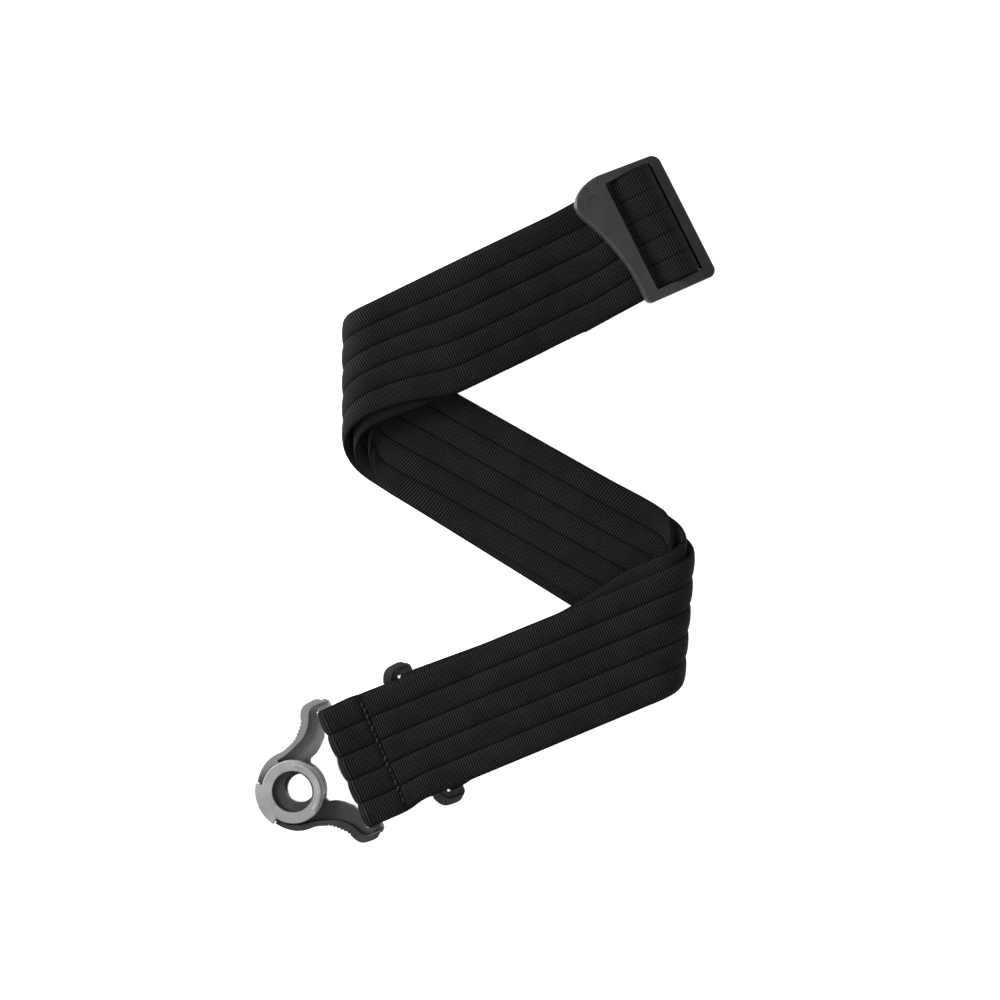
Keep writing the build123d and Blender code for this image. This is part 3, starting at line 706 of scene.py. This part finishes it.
def webbing_rings(course, places, seams):
    """Points and weave coordinates of every ring round the webbing, in millimetres."""
    shares, channels, crowns = section()
    low, high = course[:, 0], course[:, 1]
    middle = (low + high) / 2
    along = np.gradient(middle, places, axis=0)
    normals = np.cross(high - low, along)
    normals /= np.linalg.norm(normals, axis=1)[:, None]
    slants = np.sum((high - low) * along, axis=1) / np.linalg.norm(along, axis=1)
    low_ribs, high_ribs = rib_lengths(low, high, places, slants)
    rings, weave = [], []
    for index, place in enumerate(places):
        width = high[index] - low[index]
        line = low[index] + shares[:, None] * width
        factors = np.array(
            [crown_factor(place, min(int(channel), CHANNELS - 1), seams) for channel in channels]
        )
        seam_half = SEAM_HALF + (WRAP_SEAM_HALF - SEAM_HALF) * wrap_share(middle[index])
        half = seam_half + (CROWN_HALF - seam_half) * crowns * factors
        top = line + normals[index] * half[:, None]
        bottom = line - normals[index] * half[:, None]
        rings.append([low[index], *bottom, high[index], *top[::-1]])
        ring_shares = np.array([0.0, *shares, 1.0, *shares[::-1]])
        around = np.array([0.0, *channels, float(CHANNELS), *channels[::-1]])
        ribs = (low_ribs[index] + ring_shares * (high_ribs[index] - low_ribs[index])) / RIB_PITCH
        weave.append(np.stack([around, ribs], axis=1))
    return np.array(rings), np.array(weave)


def ring_faces(ring_count, ring_size):
    """Quads between neighbouring rings, and a fan over each end."""
    faces = []
    for ring in range(ring_count - 1):
        start = ring * ring_size
        for point in range(ring_size):
            other = (point + 1) % ring_size
            faces.append(
                (start + point, start + other, start + ring_size + other, start + ring_size + point)
            )
    last = (ring_count - 1) * ring_size
    faces.append(tuple(range(ring_size))[::-1])
    faces.append(tuple(last + point for point in range(ring_size)))
    return faces


def mesh_object(name, points, faces, material):
    """Smooth-shaded mesh in the frame, from points in millimetres."""
    shift = np.array((OUTLINE_MIDDLE[0], OUTLINE_MIDDLE[1], 0))
    mesh = bpy.data.meshes.new(name)
    mesh.from_pydata(((np.array(points) - shift) * MM).tolist(), [], faces)
    mesh.validate()
    mesh.shade_smooth()
    mesh.materials.append(material)
    made = bpy.data.objects.new(name, mesh)
    bpy.context.scene.collection.objects.link(made)
    return made


def make_webbing():
    """The whole padded webbing as one piece."""
    course, places = even_course()
    seam_a = TAIL_A_FROM_BAR - SEAM_A_FROM_BAR
    middle = course.mean(axis=1)
    seam_top = straight_from(LOCK_A_BAR, LOCK_YAW, SEAM_A_FROM_BAR, SEAM_A_Z, HALF)
    seam_end = straight_from(SLIDER_BAR, TAIL_YAW, -SLIDER_SEAM_FROM_BAR, TAIL_Z, HALF)
    seams = [seam_a]
    for line in (seam_top, seam_end):
        centre = (np.array(line[0]) + np.array(line[1])) / 2
        seams.append(places[np.argmin(np.linalg.norm(middle - centre, axis=1))])
    rings, weave = webbing_rings(course, places, seams)
    ring_size = rings.shape[1]
    faces = ring_faces(len(rings), ring_size)
    webbing = mesh_object("webbing", rings.reshape(-1, 3), faces, webbing_material())
    layer = webbing.data.uv_layers.new(name="Weave")
    corners = np.zeros(len(webbing.data.loops), int)
    webbing.data.loops.foreach_get("vertex_index", corners)
    layer.data.foreach_set("uv", weave.reshape(-1, 2)[corners].ravel())
    # the Sewn share drives the painted shade in the pinched groove at each seam
    sewn = np.repeat([min(seam_share(place, seams), 1.0) for place in places], ring_size)
    attribute = webbing.data.attributes.new("Sewn", "FLOAT", "POINT")
    attribute.data.foreach_set("value", sewn.astype(np.float32))
    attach(webbing, "strap")
    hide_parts("webbing_cover", *(f"padding_{i + 1}" for i in range(CHANNELS)))
    return webbing


# ---- sewing ----


def circle(centre, side, other, radius, sides):
    """Points round a centre, in the plane of two square directions."""
    turns = [2 * math.pi * step / sides for step in range(sides)]
    return [centre + (side * math.cos(turn) + other * math.sin(turn)) * radius for turn in turns]


def capsule(start, end, radius, sides=8, rounds=3):
    """Points and faces of a round-ended rod between two points."""
    smallest = 0.02 * radius
    axis = (end - start).normalized()
    side = axis.orthogonal().normalized()
    other = axis.cross(side)
    profile = []
    for step in range(rounds + 1):
        angle = math.pi / 2 * (1 - step / rounds)
        profile.append((start - axis * radius * math.sin(angle), radius * math.cos(angle)))
    for step in range(rounds + 1):
        angle = math.pi / 2 * step / rounds
        profile.append((end + axis * radius * math.sin(angle), radius * math.cos(angle)))
    points = []
    for centre, reach in profile:
        points += circle(centre, side, other, max(reach, smallest), sides)
    return points, ring_faces(len(profile), sides)


def tube(line, radius, sides=6):
    """Points and faces of a thin round thread along a line of points."""
    points = []
    for index, centre in enumerate(line):
        before, after = line[max(index - 1, 0)], line[min(index + 1, len(line) - 1)]
        axis = (after - before).normalized()
        side = axis.cross(Vector((0, 0, 1))).normalized()
        points += circle(centre, side, axis.cross(side), radius, sides)
    return points, ring_faces(len(line), sides)


def joined(pieces):
    """Several pieces' points and faces as one list of each."""
    points, faces = [], []
    for piece_points, piece_faces in pieces:
        start = len(points)
        points += piece_points
        faces += [tuple(start + corner for corner in face) for face in piece_faces]
    return points, faces


def surface_height(tree, x, y, from_z):
    """Height in millimetres of the first surface under a point of the course."""
    start = Vector(((x - OUTLINE_MIDDLE[0]) * MM, (y - OUTLINE_MIDDLE[1]) * MM, from_z * MM))
    found = tree.ray_cast(start, Vector((0, 0, -1)))[0]
    return found.z / MM


def stitch_row(tree, centre, yaw, distance, from_z, phase):
    """Stitches across the webbing, each pressed into its surface."""
    along, across, _ = axes_of(yaw)
    count = int((WEB_WIDTH - 2 * STITCH_MARGIN) / STITCH_PITCH) + 1
    row = Vector(centre) + along * distance
    pieces = []
    for index in range(count):
        place = row + across * ((index - (count - 1) / 2) * STITCH_PITCH)
        swing = rough(index * 1.7, phase, 0.3)
        place += along * (STITCH_WANDER * rough(index * 2.3, phase, 7.9))
        turned = across + along * (STITCH_SLANT + STITCH_SWING * swing)
        length = STITCH_LENGTH * (1 + STITCH_LENGTH_CHANGE * swing)
        reach = turned.normalized() * (length / 2 - STITCH_R)
        z = surface_height(tree, place.x, place.y, from_z) + STITCH_LIFT
        middle = Vector((place.x, place.y, z))
        radius = STITCH_R * (1 + STITCH_R_CHANGE * swing)
        pieces.append(capsule(middle - reach, middle + reach, radius))
    return pieces


def loose_thread(tree):
    """The thread's long free tail beside the first seam."""
    sparse = []
    for x, y in LOOSE_THREAD:
        sparse.append((x, y, surface_height(tree, x, y, ABOVE_ALL_Z) + LOOSE_THREAD_LIFT))
    sparse = np.array(sparse)
    places = lengths_along(sparse)
    line = smooth_between(places, sparse, np.linspace(0, places[-1], LOOSE_THREAD_STEPS))
    return tube([Vector(point) for point in line], LOOSE_THREAD_R)


def make_sewing(webbing):
    """Both seams, each standing for its CAD node."""
    tree = BVHTree.FromObject(webbing, bpy.context.evaluated_depsgraph_get())
    thread = thread_material()
    first = stitch_row(tree, LOCK_A_BAR, LOCK_YAW, SEAM_A_FROM_BAR, ABOVE_ALL_Z, 0.0)
    first.append(loose_thread(tree))
    second = stitch_row(tree, SLIDER_BAR, TAIL_YAW, -SLIDER_SEAM_FROM_BAR, ABOVE_TAIL_Z, 5.0)
    for name, node, pieces in (
        ("lock_a_stitches", "lock_a_seam", first),
        ("slider_stitches", "slider_seam", second),
    ):
        points, faces = joined(pieces)
        seam = mesh_object(name, [tuple(point) for point in points], faces, thread)
        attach(seam, "strap")
        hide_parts(node)


# ---- hard parts ----


def dress_hard_parts(nodes):
    """Gives every hard CAD node its material, by how its name ends. Several are lit and shaded copies of
    one plastic, with painted light and shade.
    """
    # painted light: the locks' outer side is made lighter, as if lit more by the side lamp
    lit_side_fade = (PAINTED_LIT_SIDE, LOCK_YAW + 90, PAINTED_LIT_REACH)
    # painted shade: the slider darkens towards its far bar, lighter on the near one
    shade_side_fade = (SLIDER_BAR, SLIDER_YAW, SLIDER_PAINTED_SHADE_REACH)
    # the cap carries painted shade on the wall of the lock's hole
    cap = plastic("cap_plastic", (0.262, 0.256, 0.262), 0.40, bore_shade=(LOCK_A_HOLE, BORE_SHADE_R))
    # the two levers are one plastic as lit and shaded copies: the left painted lit, the right painted
    # shade
    left = plastic(
        "left_lever_painted_lit", (0.030, 0.028, 0.030), 0.40, painted_fade=((0.180, 0.175, 0.180), *lit_side_fade)
    )
    right = plastic("right_lever_painted_shade", (0.018, 0.0165, 0.018), 0.40)
    # lock B's levers and frame: the same plastic darkened as painted shade, as they lie under the webbing
    under_lever_shade = plastic("under_lever_painted_shade", (0.011, 0.010, 0.011), 0.45)
    # the frame gets painted light on the locks' outer side
    frame = plastic(
        "frame_plastic", (0.036, 0.034, 0.036), 0.42, painted_fade=((0.150, 0.145, 0.150), *lit_side_fade)
    )
    under_frame_shade = plastic("under_frame_painted_shade", (0.011, 0.010, 0.011), 0.45)
    # slider with painted shade on its far bar
    slider = plastic(
        "slider_plastic", (0.041, 0.0385, 0.038), 0.36, painted_fade=((0.011, 0.010, 0.0098), *shade_side_fade)
    )
    steel = steel_material()
    by_ending = {
        "cap": cap,
        "lock_a_left_lever": left,
        "lock_a_right_lever": right,
        "lock_b_left_lever": under_lever_shade,
        "lock_b_right_lever": under_lever_shade,
        "lock_a_frame": frame,
        "lock_b_frame": under_frame_shade,
        "slider": slider,
        "pivot_pin": steel,
        "return_spring": steel,
    }
    for name, node in nodes.items():
        for ending, material in by_ending.items():
            if name.endswith(ending):
                node.material_slots[0].material = material


def main():
    """Builds the scene round the frame."""
    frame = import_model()
    make_camera()
    make_stage()
    webbing = make_webbing()
    make_sewing(webbing)
    dress_hard_parts(frame["nodes"])


main()
